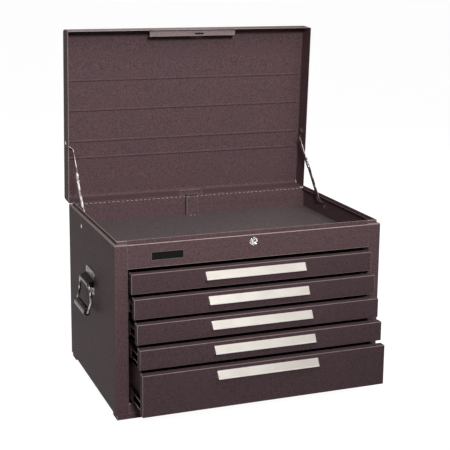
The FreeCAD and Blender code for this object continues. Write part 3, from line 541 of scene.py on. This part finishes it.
def drawer_pull(number):
    """One pressed pull, over its plain solid."""
    node = "drawer_pull_%d" % number
    low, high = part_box(node)
    shape = block_between(low, high)
    for vert in shape.verts:
        if vert.co.y < low.y + PULL_SHEET:
            vert.co.x -= math.copysign(PULL_END_SLOPE, vert.co.x)
            if vert.co.z > low.z + PULL_SHEET:
                vert.co.z -= PULL_FACE_SLOPE
    open_faces = [face for face in shape.faces if face.normal.y > FACING or face.normal.z < -FACING]
    bmesh.ops.delete(shape, geom=open_faces, context="FACES_ONLY")
    crease = [edge for edge in joined_edges(shape) if edge.calc_length() > high.x]
    round_edges(shape, crease, PULL_CREASE, 4)
    corners = [edge for edge in joined_edges(shape) if edge.calc_face_angle() > CORNER_ANGLE]
    round_edges(shape, corners, PULL_CORNER, 4)
    reach = low + Vector((0, PULL_SHEET, PULL_SHEET))
    foot = [edge for edge in shape.edges if edge.is_boundary
            and all(vert.co.y < reach.y and vert.co.z < reach.z for vert in edge.verts)]
    lip = bmesh.ops.extrude_edge_only(shape, edges=foot)
    lip_verts = [item for item in lip["geom"] if isinstance(item, bmesh.types.BMVert)]
    bmesh.ops.translate(shape, vec=(0, PULL_LIP, 0), verts=lip_verts)
    fold = [edge for edge in foot if len(edge.link_faces) == 2]
    round_edges(shape, fold, PULL_FOLD, 3)
    pull = make_piece("pull_%d" % number, shape, node)
    wall = pull.modifiers.new("sheet", "SOLIDIFY")
    wall.thickness = PULL_SHEET
    wall.offset = -1.0
    wall.use_even_offset = True
    return flat_faced(pull)


for number in DRAWERS:
    drawer_pull(number)
pull_low, pull_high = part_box("drawer_pull_1")
print("a pull is", [round(side / MM, 1) for side in pull_high - pull_low], "mm")

# %% [markdown]
# ## Balls in the slides
# Each drawer hangs on three nested rails at each side. Rows of steel balls, held apart by a thin
# cage, let them roll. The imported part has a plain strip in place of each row, so the middle rail is
# made again here: the rail itself from the solid, and rows of real balls in place of the strips.

# %% Middle rails with balls
BALL_RADIUS = 1.12 * MM
BALL_SPACING = 9.0 * MM
ROW_LENGTH_SHARE = 0.94
RAIL_HEIGHT = 10 * MM


def islands(shape):
    """The separate bodies of a bmesh, each as a list of vertices."""
    left = set(shape.verts)
    found = []
    for start in shape.verts:
        if start not in left:
            continue
        left.remove(start)
        stack = [start]
        island = []
        while stack:
            vert = stack.pop()
            island.append(vert)
            for edge in vert.link_edges:
                other = edge.other_vert(vert)
                if other in left:
                    left.remove(other)
                    stack.append(other)
        found.append(island)
    return found


def middle_rails(number):
    """Both middle rails of a drawer, with balls where the solid has strips lower than a rail."""
    node = "middle_rails_%d" % number
    shape = bmesh.new()
    shape.from_mesh(frame["nodes"][node].data)
    bmesh.ops.remove_doubles(shape, verts=shape.verts, dist=SAME_POINT)
    rows = []
    for island in islands(shape):
        heights = [vert.co.z for vert in island]
        if max(heights) - min(heights) > RAIL_HEIGHT:
            continue
        xs = [vert.co.x for vert in island]
        ys = [vert.co.y for vert in island]
        rows.append((sum(xs) / len(xs), min(ys), max(ys), (min(heights) + max(heights)) / 2))
        bmesh.ops.delete(shape, geom=island, context="VERTS")
    for x, start, end, z in rows:
        reach = (end - start) * ROW_LENGTH_SHARE
        count = int(reach / BALL_SPACING)
        first = (start + end - (count - 1) * BALL_SPACING) / 2
        for step in range(count):
            place = Matrix.Translation((x, first + step * BALL_SPACING, z))
            bmesh.ops.create_icosphere(shape, subdivisions=1, radius=BALL_RADIUS, matrix=place)
    rails = make_piece("rails_with_balls_%d" % number, shape, node)
    return len(rows), rails


for number in DRAWERS:
    rows, rails = middle_rails(number)
    print(rails.name, rows, "rows of balls,", len(rails.data.polygons), "faces")

# %% [markdown]
# ## The lock
# The lock shows as a chromed bezel with a turned step, round a plug with its keyway. Turned parts
# are made on a lathe, so each is a profile spun about the lock's axis. The plug is a piece of its
# own, because it turns.

# %% Lock bezel and nut
BEZEL_LOW, BEZEL_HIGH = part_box("lock_housing")
LOCK_CENTRE = Vector((0.0, 0.0, (BEZEL_LOW.z + BEZEL_HIGH.z) / 2))
PLUG_BORE = 6.05 * MM
BARREL_RADIUS = 9.4 * MM
BARREL_LENGTH = 11.0 * MM
BEZEL_DEPTH = 3.0 * MM
BEZEL_INNER_DEPTH = 0.9 * MM
NUT_RADIUS = 13.0 * MM
NUT_BORE = 9.45 * MM
NUT_PLACE = 1.0 * MM
NUT_THICKNESS = 3.0 * MM
NUT_SIDES = 6
NUT_BORE_SIDES = 30
FINE_POINT = 0.001 * MM


def spun(profile, steps=64):
    """A closed ring from a profile of (radius, y) points, turned about the lock's axis."""
    shape = bmesh.new()
    verts = [shape.verts.new((LOCK_CENTRE.x + radius, y, LOCK_CENTRE.z)) for radius, y in profile]
    for first, second in zip(verts, verts[1:]):
        shape.edges.new((first, second))
    bmesh.ops.spin(shape, geom=shape.verts[:] + shape.edges[:], cent=LOCK_CENTRE, axis=(0, 1, 0),
                   dvec=(0, 0, 0), angle=math.tau, steps=steps, use_merge=True, use_duplicate=False)
    bmesh.ops.remove_doubles(shape, verts=shape.verts, dist=FINE_POINT)
    bmesh.ops.recalc_face_normals(shape, faces=shape.faces)
    return shape


def upright_circle(shape, y, radius, sides):
    """A circle about the lock's axis, facing the front."""
    place = Matrix.Translation((LOCK_CENTRE.x, y, LOCK_CENTRE.z)) @ Matrix.Rotation(math.pi / 2, 4, "X")
    bmesh.ops.create_circle(shape, cap_ends=False, segments=sides, radius=radius, matrix=place)


def lock_face():
    """The bezel and barrel, with the nut behind the rail."""
    front = BEZEL_LOW.y
    face = front + BEZEL_DEPTH
    steps_in_mm = [
        (6.5, 0.35), (7.4, 0.3), (7.8, 0.7), (8.3, 0.7), (8.8, 0.15), (9.6, 0.0), (10.5, 0.5),
        (10.95, 1.3),
    ]
    points = [(PLUG_BORE, front + BEZEL_INNER_DEPTH)]
    points += [(radius * MM, front + depth * MM) for radius, depth in steps_in_mm]
    points += [(11.0 * MM, face), (BARREL_RADIUS, face), (BARREL_RADIUS, face + BARREL_LENGTH)]
    points.append((PLUG_BORE, face + BARREL_LENGTH))
    shape = spun(points + points[:1])
    nut_front = face + NUT_PLACE
    upright_circle(shape, nut_front, NUT_RADIUS, NUT_SIDES)
    upright_circle(shape, nut_front, NUT_BORE, NUT_BORE_SIDES)
    rims = [edge for edge in shape.edges if edge.is_wire]
    plate = bmesh.ops.triangle_fill(shape, edges=rims, use_beauty=True)
    flat = [item for item in plate["geom"] if isinstance(item, bmesh.types.BMFace)]
    raised = bmesh.ops.extrude_face_region(shape, geom=flat, use_keep_orig=True)
    lifted = [item for item in raised["geom"] if isinstance(item, bmesh.types.BMVert)]
    bmesh.ops.translate(shape, vec=(0, NUT_THICKNESS, 0), verts=lifted)
    bmesh.ops.recalc_face_normals(shape, faces=shape.faces)
    return make_piece("lock_bezel", shape, "lock_housing")


print("bezel and nut faces:", len(lock_face().data.polygons))

# %% Lock plug
PLUG_ROUNDING = 0.35 * MM


def lock_plug():
    """The plug: a turned cap with the keyway let into it."""
    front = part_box("lock_plug")[0].y
    shape = new_shape()
    shape.from_mesh(frame["nodes"]["lock_plug"].data)
    bmesh.ops.remove_doubles(shape, verts=shape.verts, dist=FINE_POINT)
    bmesh.ops.dissolve_limit(shape, angle_limit=FLAT_ANGLE, verts=shape.verts, edges=shape.edges)
    rim = [edge for edge in shape.edges if edge.is_manifold and edge.calc_face_angle() > CORNER_ANGLE
           and all(vert.co.y < front + PLUG_ROUNDING / 3 for vert in edge.verts)]
    round_edges(shape, rim, PLUG_ROUNDING, 3)
    return make_piece("lock_plug_face", shape, "lock_plug")


print("plug faces:", len(lock_plug().data.polygons))

# %% [markdown]
# ## The spring under the lock bar
# The bar that holds the shut drawers is pushed up by a coil spring. A coil is a small circle that
# is spun about an upright axis while it climbs, so one spin with a step upwards makes all of it. As
# the lid shuts, the bar comes down onto the spring.

# %% Spring
WIRE_RADIUS = 0.6 * MM
WIRE_SIDES = 8
SPRING_TURNS = 9
STEPS_PER_TURN = 18
BAR_STROKE = -JOINTS["lock_bar_slide"]["range_m"][0]


def coil_spring():
    """The coil, in the place of its plain tube."""
    low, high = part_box("lock_bar_spring")
    middle = (low + high) / 2
    reach = (high.x - low.x) / 2 - WIRE_RADIUS
    shape = bmesh.new()
    start = Matrix.Translation((middle.x + reach, middle.y, low.z + WIRE_RADIUS))
    place = start @ Matrix.Rotation(math.pi / 2, 4, "X")
    bmesh.ops.create_circle(shape, cap_ends=False, segments=WIRE_SIDES, radius=WIRE_RADIUS, matrix=place)
    climb = high.z - low.z - 2 * WIRE_RADIUS
    steps = SPRING_TURNS * STEPS_PER_TURN
    bmesh.ops.spin(shape, geom=shape.verts[:] + shape.edges[:], cent=middle, axis=(0, 0, 1),
                   dvec=(0, 0, climb / steps), angle=math.tau * SPRING_TURNS, steps=steps, use_merge=False,
                   use_duplicate=False)
    bmesh.ops.holes_fill(shape, edges=[edge for edge in shape.edges if edge.is_boundary], sides=0)
    bmesh.ops.recalc_face_normals(shape, faces=shape.faces)
    spring = make_piece("spring_coil", shape, "lock_bar_spring")
    left_share = 1 - BAR_STROKE / (high.z - low.z)
    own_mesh(spring)
    return spring


print("spring coil faces:", len(coil_spring().data.polygons))

# %% [markdown]
# ## The bare nameplate
# The small plate on the rail is lacquered black with a bright rim. The face is inset and sunk a
# little, which leaves the rim standing. It carries no words.

# %% Nameplate
PLATE_CORNER = 2.0 * MM
PLATE_RIM = 0.7 * MM
PLATE_STEP = 0.3 * MM
PLATE_SINK = 0.4 * MM


def bare_plate():
    """The plate with its raised rim."""
    low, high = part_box("nameplate")
    shape = block_between(low, high)
    corners = [edge for edge in shape.edges if edge.verts[0].co.xz == edge.verts[1].co.xz]
    bmesh.ops.bevel(shape, geom=corners, offset=PLATE_CORNER, offset_type="OFFSET", segments=5,
                    profile=0.5, affect="EDGES", material=-1)
    face = [face for face in shape.faces if face.normal.y < -FACING]
    rim = bmesh.ops.inset_region(shape, faces=face, thickness=PLATE_RIM, depth=0.0, use_even_offset=True)
    mark_edges(shape, rim["faces"])
    bmesh.ops.inset_region(shape, faces=face, thickness=PLATE_STEP, depth=-PLATE_SINK, use_even_offset=True)
    return make_piece("bare_nameplate", shape, "nameplate")


print("nameplate faces:", len(bare_plate().data.polygons))

# %% [markdown]
# ## The camera
# A camera is matched to a photograph by its place, its turn and its focal length together. These
# numbers come from fitting the corners of the case, the lid and the drawers, so straight lines of
# the chest fall where the photograph has them. The small shift lowers the frame without tilting
# the camera, as a photographer's shift lens does.

# %% Camera
camera_data = bpy.data.cameras.new("photograph")
camera_data.sensor_width = 36.0
camera_data.lens = 88.295
camera_data.shift_y = -0.1
camera_data.clip_end = 100.0
camera = bpy.data.objects.new("photograph", camera_data)
bpy.context.scene.collection.objects.link(camera)
camera.location = (-0.9762, -2.3797, 1.0837)
camera.rotation_euler = [math.radians(angle) for angle in (78.346, -0.546, -20.802)]
bpy.context.scene.camera = camera
print("camera is", round(camera.location.length, 2), "m from the chest's origin")

# %% [markdown]
# ## Floor and backdrop
# The chest stands on white. A white floor that is lit to white would throw too much light back, so
# its material is a mid grey that only the camera, mirrors and clear things see as white, and the
# chest's shadow still shows on it faintly. The floor is wide and turns up far away into a low wall, so
# that white lies behind the chest from every side. The room above it is dim: that gives bright metal
# something dark to mirror beside the white, which is what makes it read as metal.

# %% Floor
FLOOR_HALF = 25.0
WALL_HEIGHT = 6.0
FLOOR_DROP = 0.5 * MM


def studio_white():
    """Mid grey for the light that falls on it, and white for what looks at it."""
    white = Finish("studio white")
    path = "ShaderNodeLightPath"
    seen = white.add(path, output="Is Camera Ray") + white.add(path, output="Is Glossy Ray")
    seen = seen + white.add(path, output="Is Transmission Ray")
    white.surface(Base_Color=tone(120, 120, 120), Roughness=0.9, Specular_IOR_Level=0.0)
    white.plug(white.blend(seen, (0, 0, 0, 1), (1, 1, 1, 1)), white.shader.inputs["Emission Color"])
    white.surface(Emission_Strength=0.97)
    return white.material


def studio_floor():
    """The floor, with its far edge turned up as a wall."""
    shape = bmesh.new()
    bmesh.ops.create_grid(shape, x_segments=1, y_segments=1, size=FLOOR_HALF)
    bmesh.ops.translate(shape, vec=(0, 0, -FLOOR_DROP), verts=shape.verts)
    rim = bmesh.ops.extrude_edge_only(shape, edges=shape.edges)
    raised = [item for item in rim["geom"] if isinstance(item, bmesh.types.BMVert)]
    bmesh.ops.translate(shape, vec=(0, 0, WALL_HEIGHT), verts=raised)
    mesh = bpy.data.meshes.new("floor")
    shape.to_mesh(mesh)
    shape.free()
    mesh.materials.append(studio_white())
    floor = bpy.data.objects.new("floor", mesh)
    bpy.context.scene.collection.objects.link(floor)
    floor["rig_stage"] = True


studio_floor()
print("floor is", 2 * FLOOR_HALF, "m wide")

# %% [markdown]
# ## Light
# The key is a soft lamp high at the left of the front, aimed at the open lid, so the drawers grow
# darker towards the floor. A large soft box above lights the till and gives the sloped pulls
# something bright to mirror, one behind draws a rim along the top edges, and a weak one at the right
# keeps that side from going black. The world adds a weak, even light from all round.


# %% Lamps and world
def lamp(name, kind, place, target, power, **settings):
    """A lamp that faces a point."""
    data = bpy.data.lights.new(name, kind)
    data.energy = power
    for setting, value in settings.items():
        setattr(data, setting, value)
    light = bpy.data.objects.new(name, data)
    bpy.context.scene.collection.objects.link(light)
    light.location = place
    light.rotation_euler = (Vector(target) - Vector(place)).to_track_quat("-Z", "Y").to_euler()


world = bpy.data.worlds.new("studio")
world.use_nodes = True
bpy.context.scene.world = world
room = world.node_tree.nodes["Background"]
room.inputs["Color"].default_value = (1, 1, 1, 1)
room.inputs["Strength"].default_value = 0.08
lamp("key", "SPOT", (-0.7, -3.2, 2.0), (-0.2, 0.2, 0.82), 355, spot_size=math.radians(43), spot_blend=1.0,
     shadow_soft_size=0.3)
lamp("top", "AREA", (0.4, -0.8, 2.3), (0.0, 0.2, 0.35), 22, size=2.0)
lamp("rim", "AREA", (0.5, 3.0, 2.2), (0.0, 0.4, 0.6), 30, size=1.4)
lamp("side", "AREA", (2.4, 1.3, 1.5), (0.35, 0.25, 0.3), 22, size=1.4)
bpy.context.scene.view_settings.view_transform = "Standard"
print("lamps:", [light.name for light in bpy.data.lights])

# %% [markdown]
# ## Measure and finish
# The looks don't change the size of the chest. The box round the solids and the box round the
# finished pieces are both measured, and the largest change between them is printed.

# %% Finish
made_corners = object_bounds()
changes = [abs(a - b) for first, second in zip(cad_corners, made_corners) for a, b in zip(first, second)]
print("largest change of the box:", round(max(changes) / MM, 2), "mm")
